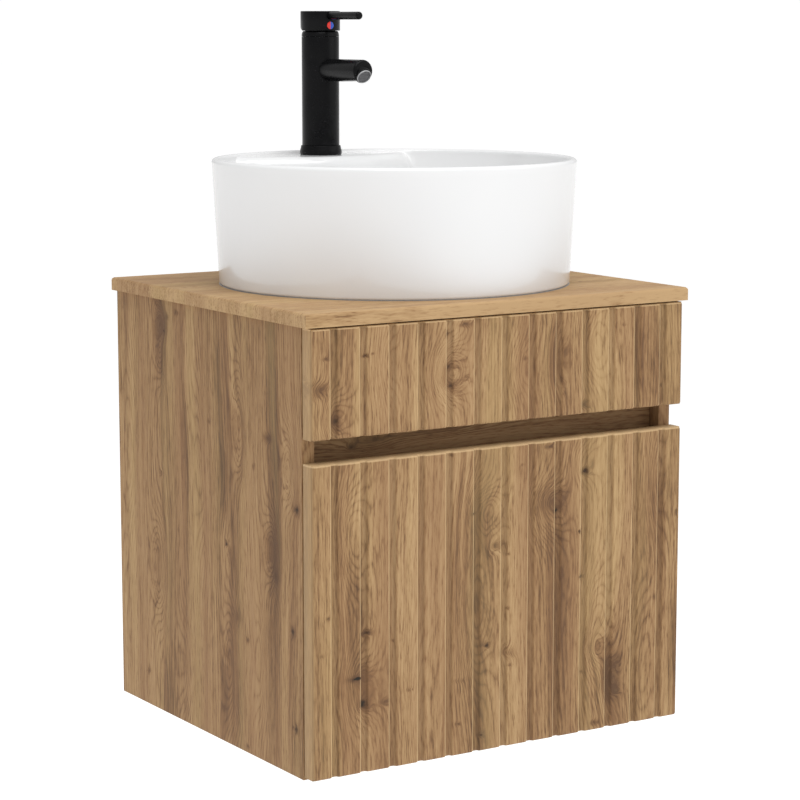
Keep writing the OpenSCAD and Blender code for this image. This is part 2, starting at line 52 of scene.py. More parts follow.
# The grooved fronts, in mm: the grooves' pitch, their number on each side of the middle one, their
# width at the face and at the floor, their depth, and the rounding of the board's front edges.
GROOVE_PITCH = 36.0
GROOVES_EACH_SIDE = 6
GROOVE_FACE = 10.0
GROOVE_FLOOR = 6.0
GROOVE_DEPTH = 3.0
FRONT_ROUND = 3.0
REAR_EASE = 0.6
FACE_Y = -225.0
UPPER_EDGES = (341.0, 483.5)  # heights of the two boards' top edges

MERGE_DISTANCE = 1e-7  # coincident points of a mesh, in metres


# ---------------------------------------------------------------- shader nodes


class Shader:
    """Builds one material's node tree. A value is a number or a socket."""

    def __init__(self, name):
        self.material = bpy.data.materials.new(name)
        self.material.use_nodes = True
        self.tree = self.material.node_tree
        self.tree.nodes.clear()
        out = self.tree.nodes.new("ShaderNodeOutputMaterial")
        self.bsdf = self.tree.nodes.new("ShaderNodeBsdfPrincipled")
        self.tree.links.new(self.bsdf.outputs[0], out.inputs[0])
        self.coords = self.tree.nodes.new("ShaderNodeTexCoord").outputs["Object"]
        split = self.tree.nodes.new("ShaderNodeSeparateXYZ")
        self.tree.links.new(self.coords, split.inputs[0])
        self.axis = dict(zip("xyz", split.outputs))

    def put(self, socket, value):
        if isinstance(value, bpy.types.NodeSocket):
            self.tree.links.new(value, socket)
        else:
            socket.default_value = value

    def set(self, **values):
        for name, value in values.items():
            self.put(self.bsdf.inputs[name.replace("_", " ")], value)

    def math(self, op, a, b=0.0, c=0.0):
        node = self.tree.nodes.new("ShaderNodeMath")
        node.operation = op
        for socket, value in zip(node.inputs, (a, b, c)):
            self.put(socket, value)
        return node.outputs[0]

    def add(self, a, b):
        return self.math("ADD", a, b)

    def mul(self, a, b):
        return self.math("MULTIPLY", a, b)

    def fma(self, a, b, c):
        return self.math("MULTIPLY_ADD", a, b, c)

    def vector(self, x, y, z):
        node = self.tree.nodes.new("ShaderNodeCombineXYZ")
        for socket, value in zip(node.inputs, (x, y, z)):
            self.put(socket, value)
        return node.outputs[0]

    def noise(self, vector, scale=1.0, detail=2.0, rough=0.5):
        node = self.tree.nodes.new("ShaderNodeTexNoise")
        self.put(node.inputs["Vector"], vector)
        for name, value in (("Scale", scale), ("Detail", detail), ("Roughness", rough)):
            node.inputs[name].default_value = value
        return node.outputs["Fac"]

    def spread(self, value, low, high, to_low=0.0, to_high=1.0):
        """Maps low..high to to_low..to_high and clamps there."""
        node = self.tree.nodes.new("ShaderNodeMapRange")
        for socket, v in zip(node.inputs, (value, low, high, to_low, to_high)):
            self.put(socket, v)
        return node.outputs[0]

    def ramp(self, value, stops):
        node = self.tree.nodes.new("ShaderNodeValToRGB")
        ramp = node.color_ramp
        while len(ramp.elements) < len(stops):
            ramp.elements.new(0.5)
        for element, (place, colour) in zip(ramp.elements, stops):
            element.position = place
            element.color = (*colour, 1.0)
        self.put(node.inputs[0], value)
        return node.outputs[0]

    def blend(self, amount, a, b):
        node = self.tree.nodes.new("ShaderNodeMix")
        node.data_type = "RGBA"
        sockets = [s for s in node.inputs if s.enabled]
        for socket, value in zip(sockets, (amount, a, b)):
            plain = isinstance(value, (bpy.types.NodeSocket, float))
            self.put(socket, value if plain else (*value, 1.0))
        return [s for s in node.outputs if s.enabled][0]

    def bump(self, height, distance, strength):
        node = self.tree.nodes.new("ShaderNodeBump")
        node.inputs["Strength"].default_value = strength
        node.inputs["Distance"].default_value = distance
        self.put(node.inputs["Height"], height)
        self.put(self.bsdf.inputs["Normal"], node.outputs[0])


def linear(r, g, b):
    """The linear colour of an sRGB one given as 0 to 255."""
    return tuple(c / 255 / 12.92 if c < 11 else ((c / 255 + 0.055) / 1.055) ** 2.4
                 for c in (r, g, b))


# ---------------------------------------------------------------- oak

OAK_LIGHT = linear(188, 156, 114)
OAK_MID = linear(164, 131, 92)
OAK_BROWN = linear(131, 99, 67)
OAK_DARK = linear(92, 68, 49)
OAK_PINK = linear(142, 105, 74)
OAK_YELLOW = linear(172, 144, 98)
# the pale colour of the painted highlights on the fronts' arrises and top edges
OAK_HIGHLIGHT = linear(212, 182, 138)
KNOT_BROWN = linear(84, 62, 44)
KNOT_BLACK = linear(42, 38, 32)
RING_PITCH = 5.2  # distance between growth lines, in mm
ARCH_RISE = 0.0012  # how far one arch ring pushes the growth lines aside, in metres
BROAD_LENGTH = 38  # a mark with at least this half length, in mm, is a streak along the grain
INVERSE_E = 0.3679

# How strongly the painted light and shade on the grooved fronts cover, from 0 to 1: painted shade in
# the grooves, painted highlights on the arrises, and painted light on the end faces.
GROOVE_SHADE = 0.19
ARRIS_HIGHLIGHT = 0.62
END_PAINTED_LIGHT = 0.55
# Where they lie, in metres: the start of an end face as a distance from the middle, the painted
# highlight on each groove's left arris as distances from the groove's middle, the painted highlight
# along a top edge, and how far right of a groove's middle its painted shade grows to double.
END_FACE = (0.2415, 0.2428)
HIGHLIGHT_OUTSIDE = (-0.0063, -0.0054)
HIGHLIGHT_INSIDE = (-0.0038, -0.0047)
HIGHLIGHT_TOP_EDGE = (0.0022, 0.0014)
SHADE_RIGHT_FLANK = 0.004

# Figure of the wood. Each mark is (across, along, half width, half length, shade, core, bend). The
# first four and bend are in mm: shade darkens softly, core adds a dark heart, and bend pushes the
# growth lines round the mark.
FRONT_MARKS = [
    # broad streaks of the drawer front
    (-186, 170, 13, 75, 0.34, 0, 6), (-186, 90, 26, 32, 0.16, 0, 8),
    (-120, 180, 30, 200, -0.16, 0, 0), (-38, 60, 17, 110, 0.26, 0, 5),
    (-40, 230, 26, 90, 0.24, 0, 9), (-14, 255, 14, 30, 0.16, 0, 9), (26, 170, 18, 170, -0.20, 0, 0),
    (72, 150, 15, 150, 0.28, 0, 6), (142, 60, 24, 60, 0.26, 0, 12), (206, 240, 18, 60, 0.20, 0, 4),
    (236, 80, 9, 75, 0.42, 0, 3), (150, 230, 36, 90, -0.10, 0, 0),
    (-225, 190, 16, 190, -0.10, 0, 0),
    # the black crack and the knots below it
    (-190, 108, 9.5, 2.6, 0.75, 1.3, 0), (-186, 108, 16, 11, 0.28, 0, 8),
    (-181, 79, 8, 8, 0.45, 1.0, 10), (-155, 78, 6, 3.5, 0.50, 0.2, 6),
    (-177, 156, 6.5, 3, 0.55, 0.6, 6), (-225, 177, 2.5, 2, 0.5, 0.4, 2),
    (-233, 138, 3, 2, 0.3, 0.1, 2), (-143, 143, 2.5, 2, 0.35, 0.2, 2),
    (-123, 87, 4, 1.8, 0.35, 0.1, 3), (-70, 337, 3, 1.6, 0.35, 0.2, 2),
    (-40, 270, 3, 2.2, 0.6, 0.7, 5), (-12, 231, 9, 6, 0.32, 0.1, 8),
    (5, 221, 2.2, 1.8, 0.4, 0.2, 2), (5, 160, 2.2, 1.8, 0.4, 0.2, 2),
    (-23, 122, 4.5, 3.5, 0.5, 0.8, 6), (5, 110, 12, 7, 0.26, 0, 6), (8, 96, 3, 1.5, 0.35, 0.1, 2),
    (-60, 87, 8, 2.5, 0.18, 0, 3), (-61, 39, 4.5, 2.2, 0.5, 0.3, 4), (-30, 22, 4, 3.5, 0.4, 0.7, 4),
    (23, 318, 2, 1.6, 0.4, 0.2, 1), (57, 335, 6, 3, 0.45, 0.2, 5), (61, 274, 17, 15, 0.36, 0.1, 14),
    (70, 262, 4, 5, 0.55, 1.1, 0), (110, 302, 6.5, 4, 0.6, 0.8, 14),
    (101, 235, 3.5, 3.2, 0.6, 0.6, 5), (105, 183, 4, 3.5, 0.55, 0.7, 8),
    (107, 73, 3, 2, 0.4, 0.3, 3), (146, 60, 10, 22, 0.42, 0.25, 12), (155, 45, 6, 4, 0.4, 0.1, 6),
    (125, 12, 6, 3.5, 0.5, 0.3, 5), (238, 243, 2.5, 3, 0.5, 0.3, 2),
    (122, 100, 14, 20, 0.12, 0, 16),
    # the upper front
    (-214, 386, 7, 9, 0.5, 0.7, 9), (-236, 420, 10, 8, 0.36, 0, 10), (-225, 452, 5, 2, 0.4, 0.2, 4),
    (-178, 452, 4, 2, 0.55, 0.5, 3), (-169, 454, 3, 1.5, 0.4, 0.1, 2),
    (-73, 424, 17, 24, 0.16, 0, 26), (-73, 433, 4, 4, 0.45, 0.6, 0),
    (-70, 412, 4.5, 3, 0.5, 0.7, 0), (-50, 421, 3, 1.8, 0.4, 0.3, 2),
    (-53, 477, 8, 3, 0.55, 0.4, 5), (-75, 468, 5, 4, 0.45, 0.5, 4), (25, 435, 3, 2, 0.4, 0.1, 2),
    (70, 430, 12, 45, 0.26, 0, 10), (108, 377, 6, 4, 0.45, 0.3, 8), (184, 430, 10, 70, 0.40, 0, 3),
    (205, 430, 9, 70, 0.20, 0, 2), (216, 391, 2, 2, 0.5, 0.4, 2), (160, 463, 3, 1.5, 0.4, 0.1, 2),
    (-20, 420, 26, 60, -0.14, 0, 0), (-125, 420, 26, 60, -0.10, 0, 0),
    (130, 430, 18, 60, -0.10, 0, 4),
]

SIDE_MARKS = [
    (-143, 300, 15, 260, 0.36, 0, 5), (-140, 236, 16, 26, 0.34, 0, 12),
    (-147, 211, 5, 9, 0.40, 0.5, 3), (-30, 390, 15, 90, 0.30, 0, 6), (-36, 290, 18, 50, 0.26, 0, 8),
    (-46, 150, 14, 80, 0.32, 0, 6), (-44, 50, 22, 60, 0.34, 0, 10), (112, 440, 12, 60, 0.26, 0, 6),
    (114, 20, 20, 40, 0.28, 0, 8), (56, 320, 10, 60, 0.14, 0, 2), (110, 455, 13, 17, 0.34, 0.1, 18),
    (107, 448, 4, 3, 0.4, 0.6, 0), (75, 472, 7, 3, 0.3, 0.1, 4), (98, 465, 5, 4, 0.3, 0.1, 4),
    (-192, 290, 6, 6.5, 0.6, 0.8, 10), (-182, 157, 4.5, 6, 0.65, 0.7, 7),
    (-188, 52, 4.5, 4.5, 0.6, 0.7, 6), (-132, 358, 8, 5.5, 0.42, 0.2, 6),
    (-37, 227, 3.5, 3, 0.6, 0.8, 5), (-83, 128, 4, 2.5, 0.4, 0.2, 4), (-61, 150, 10, 8, 0.30, 0, 6),
    (157, 40, 4.5, 3, 0.45, 0.2, 5), (-100, 323, 3, 3.5, 0.4, 0.2, 3), (-82, 7, 4, 3, 0.4, 0.2, 3),
    (0, 358, 2.5, 2.5, 0.3, 0.1, 2), (117, 282, 5, 4, 0.18, 0, 6), (-65, 350, 14, 40, 0.10, 0, 16),
    (-176, 330, 11, 36, 0.06, 0, 14), (125, 170, 18, 50, 0.12, 0, 16),
    (180, 250, 26, 260, -0.12, 0, 0), (-85, 180, 18, 160, -0.12, 0, 0),
    (15, 150, 18, 150, -0.06, 0, 0), (-200, 200, 12, 200, -0.12, 0, 0),
    (-52, 225, 9, 30, 0.22, 0, 8),
]

TOP_MARKS = [
    (-118, 200, 12, 40, 0.30, 0, 6), (-127, 243, 4, 4, 0.6, 0.8, 8),
    (170, -215, 16, 60, 0.24, 0, 6), (90, -200, 18, 70, 0.26, 0, 8), (60, -190, 5, 6, 0.45, 0.5, 8),
    (-60, 230, 14, 80, 0.14, 0, 6), (-200, 40, 12, 120, -0.10, 0, 3),
    (120, 225, 10, 40, 0.20, 0, 6), (-215, -120, 8, 70, 0.14, 0, 3),
]

RAIL_MARKS = [
    (350, -172, 3, 5, 0.5, 0.6, 8), (352, -150, 9, 36, 0.22, 0, 12), (356, -70, 8, 60, 0.14, 0, 10),
]

# Arched growth rings: (across, along, half width, half length, rings), the first four in mm.
FRONT_ARCHES = [
    (-190, 262, 20, 55, 6), (-32, 165, 20, 80, 8), (-22, 272, 26, 26, 5), (125, 128, 24, 62, 7),
    (62, 262, 28, 34, 6), (108, 312, 20, 24, 4), (-182, 96, 26, 40, 5), (190, 70, 20, 90, 5),
    (-110, 60, 22, 110, 5), (205, 290, 18, 60, 4), (-73, 430, 24, 32, 7), (22, 425, 20, 34, 4),
    (-215, 390, 22, 24, 5), (118, 440, 20, 44, 5), (-150, 440, 18, 40, 4),
]
SIDE_ARCHES = [
    (-70, 375, 18, 62, 7), (108, 442, 22, 48, 8), (-140, 236, 24, 42, 6), (-46, 96, 22, 66, 7),
    (122, 170, 22, 74, 6), (-176, 330, 18, 46, 5), (60, 66, 24, 64, 5), (190, 300, 24, 110, 6),
    (20, 300, 22, 90, 5), (-110, 110, 18, 70, 5),
]
TOP_ARCHES = [
    (-150, -120, 22, 90, 6), (150, 120, 22, 80, 6), (-118, 200, 20, 60, 5), (60, -190, 22, 60, 6),
]
PLAIN_ARCHES = [
    (-60, 40, 20, 70, 6), (80, -80, 22, 80, 6), (40, 120, 18, 60, 5),
]

PLAIN_MARKS = [
    (-60, 40, 14, 200, 0.20, 0, 6), (90, 20, 16, 200, 0.16, 0, 6), (40, 60, 5, 5, 0.4, 0.5, 8),
]


def bell(s, u, v, mark, steep=False):
    """A soft spot: 1 in the mark's middle and 1/e at its half width and half length."""
    middle_u, middle_v, half_u, half_v = mark[:4]
    a = s.fma(u, 1 / (half_u * MM), -middle_u / half_u)
    b = s.fma(v, 1 / (half_v * MM), -middle_v / half_v)
    squared = s.fma(a, a, s.mul(b, b))
    if steep:
        squared = s.math("POWER", squared, 1.5)
    return s.math("POWER", INVERSE_E, squared)


def add_marks(s, marks, tone, streak_place, knot_place):
    """Adds up the marks and returns their shade, dark hearts, bend of the lines, and streaks."""
    shade, core, bend, band = tone, 0.0, 0.0, 0.0
    for mark in marks:
        half_length, dark, heart, push = mark[3:]
        if half_length >= BROAD_LENGTH:
            spot = bell(s, *streak_place, mark, steep=True)
            band = s.fma(spot, dark, band)
        else:
            spot = bell(s, *knot_place, mark)
            shade = s.fma(spot, dark, shade)
        if heart:
            core = s.fma(s.math("POWER", spot, 2.6), heart, core)
        if push:
            bend = s.fma(spot, push * MM, bend)
    return shade, core, bend, band


def painted_groove_light(s, u, v, w, colour):
    """Painted light on the end faces, painted shade in the routed grooves, and painted highlights on
    the arrises and top edges.
    """
    # painted light: the end faces are painted paler
    ends = s.spread(s.math("ABSOLUTE", u), *END_FACE)
    colour = s.blend(s.mul(ends, END_PAINTED_LIGHT), colour, OAK_LIGHT)
    # painted shade: the grooves are painted darker, most on each groove's right flank
    bottom_y = FACE_Y + GROOVE_DEPTH
    depth = s.mul(s.spread(w, (FACE_Y + 0.4) * MM, (bottom_y - 0.1) * MM),
                  s.spread(w, (bottom_y + 0.8) * MM, (bottom_y + 0.2) * MM))
    place = s.math("WRAP", u, GROOVE_PITCH / 2 * MM, -GROOVE_PITCH / 2 * MM)
    cavity_shade = s.spread(place, 0.0, SHADE_RIGHT_FLANK, GROOVE_SHADE, 2 * GROOVE_SHADE)
    colour = s.blend(s.mul(depth, cavity_shade), colour, KNOT_BROWN)
    # painted highlight on each groove's left arris and along the boards' top edges
    painted_highlight = s.mul(s.spread(place, *HIGHLIGHT_OUTSIDE), s.spread(place, *HIGHLIGHT_INSIDE))
    for edge in UPPER_EDGES:
        near = s.spread(s.math("ABSOLUTE", s.add(v, -edge * MM)), *HIGHLIGHT_TOP_EDGE)
        painted_highlight = s.math("MAXIMUM", painted_highlight, near)
    return s.blend(s.mul(painted_highlight, ARRIS_HIGHLIGHT), colour, OAK_HIGHLIGHT)


def oak(name, across, along, through, marks, arches, shift=0.0, tone=0.0, fine=0.9, grooves=False):
    """Oak-look laminate whose grain runs along one axis.

    shift moves the random figure, tone darkens the board, and fine weighs its fine figure.
    """
    s = Shader(name)
    u, v, w = s.axis[across], s.axis[along], s.axis[through]
    # the growth lines wander slowly across the board, and the edges of knots are ragged
    sway = s.noise(s.vector(s.add(u, shift), s.mul(v, 0.28), w), 9.0, 2.0)
    swayed = s.fma(sway, 0.030, s.add(u, -0.015))
    ragged = s.noise(s.coords, 180.0, 2.0, 0.6)
    ragged2 = s.noise(s.vector(u, v, s.add(w, 3.1 + shift)), 140.0, 2.0, 0.6)
    ragged_u = s.fma(ragged, 0.0042, s.add(u, -0.0021))
    ragged_v = s.fma(ragged2, 0.0056, s.add(v, -0.0028))
    shade, core, bend, band = add_marks(s, marks, tone, (swayed, v), (ragged_u, ragged_v))

    # long streaks, and the growth rings with their arches
    line = s.add(swayed, bend)
    streak = s.noise(s.vector(s.mul(line, 95.0), s.fma(v, 1.3, shift), s.mul(w, 60.0)),
                     1.0, 3.0, 0.6)
    slow = s.noise(s.vector(s.mul(line, 20.0), s.fma(v, 1.5, 4.0 + shift), s.mul(w, 10.0)),
                   1.0, 2.0, 0.5)
    arch = 0.0
    for mark in arches:
        arch = s.fma(bell(s, swayed, ragged_v, mark), float(mark[4]), arch)
    line = s.fma(arch, ARCH_RISE, line)
    field = s.add(arch, s.fma(slow, 9.0, s.mul(line, 1 / (RING_PITCH * MM))))
    rings = s.math("POWER", s.mul(s.math("PINGPONG", field, 0.5), 2.0), 3.0)

    # fibres, and the short dark pores between them
    fibre = s.noise(s.vector(s.mul(line, 430.0), s.fma(v, 16.0, shift), s.mul(w, 300.0)),
                    1.0, 3.0, 0.65)
    dash = s.noise(s.vector(s.mul(line, 640.0), s.fma(v, 62.0, 8.0), s.mul(w, 500.0)),
                   1.0, 2.0, 0.6)
    pores = s.spread(dash, 0.54, 0.68)

    # the sum of it all, from light wood at 0 to dark wood at 1
    total = s.fma(s.add(slow, -0.5), 0.70, 0.36)
    total = s.add(total, s.mul(band, s.fma(streak, 1.3, 0.35)))
    total = s.fma(s.add(streak, -0.5), 0.80, total)
    total = s.fma(s.mul(rings, s.fma(dash, 1.6, 0.2)), s.fma(band, 0.30, 0.24), total)
    total = s.fma(s.add(fibre, -0.5), 0.70 * fine, total)
    total = s.fma(s.add(dash, -0.5), 0.70 * fine, total)
    total = s.fma(pores, 0.16, total)
    total = s.add(total, shade)
    wood = [(0.0, OAK_LIGHT), (0.34, OAK_MID), (0.62, OAK_BROWN), (1.0, OAK_DARK)]
    colour = s.ramp(total, wood)
    hue = s.noise(s.vector(s.mul(line, 34.0), s.fma(v, 1.6, 11.0 + shift), w), 1.0, 2.0)
    colour = s.blend(s.spread(hue, 0.42, 0.70, 0.0, 0.45), colour, OAK_PINK)
    colour = s.blend(s.spread(hue, 0.46, 0.30, 0.0, 0.35), colour, OAK_YELLOW)
    # painted light and shade of the grooved fronts
    if grooves:
        colour = painted_groove_light(s, u, v, w, colour)
    if core:
        core = s.fma(s.add(fibre, -0.5), 0.5, core)
        colour = s.blend(s.spread(core, 0.18, 0.60), colour, KNOT_BROWN)
        colour = s.blend(s.spread(core, 0.55, 0.95), colour, KNOT_BLACK)
    s.set(Base_Color=colour, Roughness=s.spread(fibre, 0.3, 0.7, 0.58, 0.70),
          Specular_IOR_Level=0.2)
    s.bump(s.fma(dash, 0.5, s.fma(pores, -0.6, fibre)), 0.00015, 0.7)
    return s.material


# ---------------------------------------------------------------- other materials


def ceramic():
    s = Shader("white_glaze")
    cloud = s.noise(s.coords, 7.0, 2.0)
    white = s.blend(s.spread(cloud, 0.3, 0.7), (0.765, 0.77, 0.775), (0.79, 0.79, 0.79))
    s.set(Base_Color=white, Roughness=s.spread(s.noise(s.coords, 30.0, 3.0), 0.3, 0.7, 0.10, 0.16),
          Specular_IOR_Level=0.5, Coat_Weight=0.2, Coat_Roughness=0.04)
    s.bump(s.noise(s.coords, 24.0, 2.0), 0.0002, 0.25)
    return s.material


def coated(name, base, edge, rough, specular=0.5):
    """A sprayed coating: fine orange peel and slightly uneven gloss."""
    s = Shader(name)
    peel = s.noise(s.coords, 1600.0, 3.0, 0.6)
    patch = s.noise(s.coords, 60.0, 3.0)
    s.set(Base_Color=s.blend(s.spread(patch, 0.35, 0.7), base, edge),
          Roughness=s.spread(patch, 0.3, 0.7, rough - 0.04, rough + 0.05),
          Specular_IOR_Level=specular)
    s.bump(peel, 0.00003, 0.6)
    return s.material


def metal(name, colour, rough, brush=900.0):
    """Metal with fine drawn lines along Y."""
    s = Shader(name)
    stretched = [s.mul(s.axis[a], 12.0 if a == "y" else brush) for a in "xyz"]
    lines = s.noise(s.vector(*stretched), 1.0, 3.0, 0.6)
    patch = s.noise(s.coords, 45.0, 3.0)
    darker = tuple(c * 0.78 for c in colour)
    s.set(Base_Color=s.blend(s.spread(patch, 0.3, 0.75), colour, darker), Metallic=1.0,
          Roughness=s.spread(lines, 0.3, 0.7, rough - 0.05, rough + 0.08))
    s.bump(lines, 0.00003, 0.5)
    return s.material


def soft_plastic(name, base, rough):
    """Plastic or rubber with a fine grain."""
    s = Shader(name)
    grain = s.noise(s.coords, 800.0, 3.0)
    darker = tuple(c * 0.8 for c in base)
    s.set(Base_Color=s.blend(s.spread(grain, 0.35, 0.75), base, darker),
          Roughness=s.spread(s.noise(s.coords, 90.0, 2.0), 0.3, 0.7, rough - 0.05, rough + 0.08))
    s.bump(grain, 0.00004, 0.5)
    return s.material


def mesh_plastic():
    """The aerator's screen: small cells in a grey disc, each cell's middle painted dark as shade in
    its hole.
    """
    s = Shader("aerator_screen")
    cells = s.tree.nodes.new("ShaderNodeTexVoronoi")
    cells.feature = "DISTANCE_TO_EDGE"
    s.put(cells.inputs["Vector"], s.coords)
    cells.inputs["Scale"].default_value = 620.0
    cells.inputs["Randomness"].default_value = 0.35
    # painted shade: the middles of the cells, the holes, are painted darker and bumped in
    wall = s.spread(cells.outputs["Distance"], 0.06, 0.20)
    s.set(Base_Color=s.blend(wall, (0.13, 0.13, 0.135), (0.05, 0.05, 0.054)), Roughness=0.5)
    s.bump(wall, 0.0003, -0.8)
    return s.material


# ---------------------------------------------------------------- meshes


def piece(name, verts, faces, body, material, slot, replaces=(), smooth=35.0):
    """A mesh object that rides on a body and stands for CAD nodes. verts are in mm."""
    mesh = bpy.data.meshes.new(name)
    mesh.from_pydata([tuple(c * MM for c in p) for p in verts], [], faces)
    mesh.validate()
    bm = bmesh.new()
    bm.from_mesh(mesh)
    bmesh.ops.remove_doubles(bm, verts=bm.verts, dist=MERGE_DISTANCE)
    bmesh.ops.recalc_face_normals(bm, faces=bm.faces)
    bm.to_mesh(mesh)
    bm.free()
    mesh.polygons.foreach_set("use_smooth", [True] * len(mesh.polygons))
    mesh.set_sharp_from_angle(angle=math.radians(smooth))
    mesh.materials.append(material)
    obj = bpy.data.objects.new(name, mesh)
    bpy.context.scene.collection.objects.link(obj)
    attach(obj, body)
    for node in replaces:
        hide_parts(node)


def join(*parts):
    """One (verts, faces) from several."""
    verts, faces = [], []
    for part_verts, part_faces in parts:
        start = len(verts)
        verts += [tuple(p) for p in part_verts]
        faces += [tuple(i + start for i in f) for f in part_faces]
    return verts, faces


def moved(part, matrix):
    verts, faces = part
    return [tuple(matrix @ Vector(p)) for p in verts], faces


def lathe(profile, steps=96):
    """Turns (radius, height) points about Z. Points on the axis become poles."""
    verts, faces, rings = [], [], []
    for r, z in profile:
        if r < 1e-6:
            rings.append([len(verts)])
            verts.append((0.0, 0.0, z))
        else:
            rings.append(list(range(len(verts), len(verts) + steps)))
            turns = [2 * math.pi * i / steps for i in range(steps)]
            verts += [(r * math.cos(turn), r * math.sin(turn), z) for turn in turns]
    for low, high in zip(rings, rings[1:]):
        if len(low) == 1 and len(high) == 1:
            continue
        for i in range(steps):
            j = (i + 1) % steps
            if len(low) == 1:
                faces.append((low[0], high[i], high[j]))
            elif len(high) == 1:
                faces.append((low[i], low[j], high[0]))
            else:
                faces.append((low[i], low[j], high[j], high[i]))
    return verts, faces


def corner(cx, cz, r, start, end, steps=6):
    """Points of an arc, angles in degrees."""
    angles = [math.radians(start + (end - start) * i / steps) for i in range(steps + 1)]
    return [(cx + r * math.cos(a), cz + r * math.sin(a)) for a in angles]


# ---------------------------------------------------------------- grooved fronts


def groove_depth(x):
    """Depth of the routed grooves at x, averaged over 1.6 mm to soften their corners, in mm."""
    nearest = round(x / GROOVE_PITCH)
    nearest = max(-GROOVES_EACH_SIDE, min(GROOVES_EACH_SIDE, nearest))
    slope = (GROOVE_FACE - GROOVE_FLOOR) / 2
    total = 0.0
    for k in range(-4, 5):
        off = abs(x - nearest * GROOVE_PITCH + k * 0.2)
        total += GROOVE_DEPTH * min(1.0, max(0.0, (GROOVE_FACE / 2 - off) / slope))
    return total / 9


def edge_fall(s, t, r):
    """How far the face falls back at distances s and t from the two nearest edges."""
    a, b = max(0.0, r - s), max(0.0, r - t)
    return r - math.sqrt(max(0.0, r * r - a * a - b * b))


def edge_steps(low, high, r, middle):
    """Grid lines from low to high, close together where the edges are rounded."""
    rise = [r * (1 - math.cos(math.radians(a))) for a in (0, 15, 30, 45, 60, 75, 90)]
    return sorted(set([low + s for s in rise] + [high - s for s in rise] + middle))


def grooved_front(name, node, body, material):
    """A front board: a grid for its grooved face, and a plain rear."""
    lo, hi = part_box(node)
    x0, x1, z0, z1 = lo.x / MM, hi.x / MM, lo.z / MM, hi.z / MM
    face_y, back_y = lo.y / MM, hi.y / MM
    offsets = [0, 1.2, 2.0, 2.4, 2.8, 3.2, 3.6, 4.0, 4.4, 4.8, 5.2, 5.6, 6.2]
    grooves = [k * GROOVE_PITCH + side * o
               for k in range(-GROOVES_EACH_SIDE, GROOVES_EACH_SIDE + 1)
               for o in offsets for side in (-1, 1)]
    xs = edge_steps(x0, x1, FRONT_ROUND, grooves)
    zs = edge_steps(z0, z1, FRONT_ROUND, [z0 + (z1 - z0) * i / 8 for i in range(1, 8)])
    nx, nz = len(xs), len(zs)
    verts = []
    for z in zs:
        for x in xs:
            fall = edge_fall(min(x - x0, x1 - x), min(z - z0, z1 - z), FRONT_ROUND)
            verts.append((x, face_y + groove_depth(x) + fall, z))
    faces = [(j * nx + i, j * nx + i + 1, (j + 1) * nx + i + 1, (j + 1) * nx + i)
             for j in range(nz - 1) for i in range(nx - 1)]
    rim = list(range(nx)) + [j * nx + nx - 1 for j in range(1, nz)]
    rim += [(nz - 1) * nx + i for i in range(nx - 2, -1, -1)]
    rim += [j * nx for j in range(nz - 2, 0, -1)]
    rings = [rim]
    for step, inset in ((REAR_EASE, 0.0), (0.0, REAR_EASE)):
        ring = []
        for i in rim:
            x, _, z = verts[i]
            ring.append(len(verts))
            verts.append((min(max(x, x0 + inset), x1 - inset), back_y - step,
                          min(max(z, z0 + inset), z1 - inset)))
        rings.append(ring)
    for a, b in zip(rings, rings[1:]):
        faces += [(a[i], a[(i + 1) % len(a)], b[(i + 1) % len(a)], b[i]) for i in range(len(a))]
    faces.append(tuple(rings[-1]))
    piece(name, verts, faces, body, material, "oak_laminate", (node,), smooth=50)


# ---------------------------------------------------------------- basin

# All in mm. The two drops are measured down from the rim. The tap deck's front edge is an arc about
# a point behind the basin, DECK_CENTRE from its middle.
RIM_ROUND = 4.2
FOOT_ROUND = 3.5
FOOT_RADIUS = 201.0
DRAIN_Y = -35.0
DRAIN_RADIUS = 22.5
DRAIN_SEAT_RADIUS = 36.0
FLOOR_DROP = 120.7
DECK_DROP = 3.7
DECK_CENTRE = 290.0
DECK_RADIUS = 180.0
DECK_ROLL = 11.0
DECK_BLEND = 7.0
# the bowl's wall as (distance from the middle, height over the floor), up to the rounded lip
BOWL_WALL = [(0, -2.5), (40, -1.5), (110, 1.5), (140, 6), (160, 14), (174, 25), (184, 40),
             (190, 56), (193.5, 74), (196, 96)]
BASIN_COLUMNS = 240
INNER_ROWS = 110
INNER_SAMPLES = 2600


def smooth_max(a, b, k):
    """The larger of two heights with a rounded inner corner of size k."""
    h = np.clip(0.5 + 0.5 * (a - b) / k, 0.0, 1.0)
    return b + (a - b) * h + k * h * (1.0 - h)


def bowl_height(rho, rim_z, floor_z, lip_in):
    """Height of the bowl's inner surface at a distance from the basin's middle."""
    top = rim_z - RIM_ROUND
    radii = [radius for radius, _ in BOWL_WALL] + [lip_in - 0.6, lip_in]
    heights = [floor_z + height for _, height in BOWL_WALL] + [top - 4, top]
    return np.interp(rho, radii, heights)


def deck_height(gap, deck_z, floor_z):
    """Height of the tap deck's solid; gap is the distance inside its front edge."""
    over = np.clip(DECK_ROLL - gap, 0, DECK_ROLL)
    rounded = deck_z - (DECK_ROLL - np.sqrt(np.maximum(DECK_ROLL ** 2 - over ** 2, 0.0)))
    below = deck_z - DECK_ROLL - (-gap) * 9.0
    return np.where(gap >= 0, rounded, np.maximum(below, floor_z - 30))


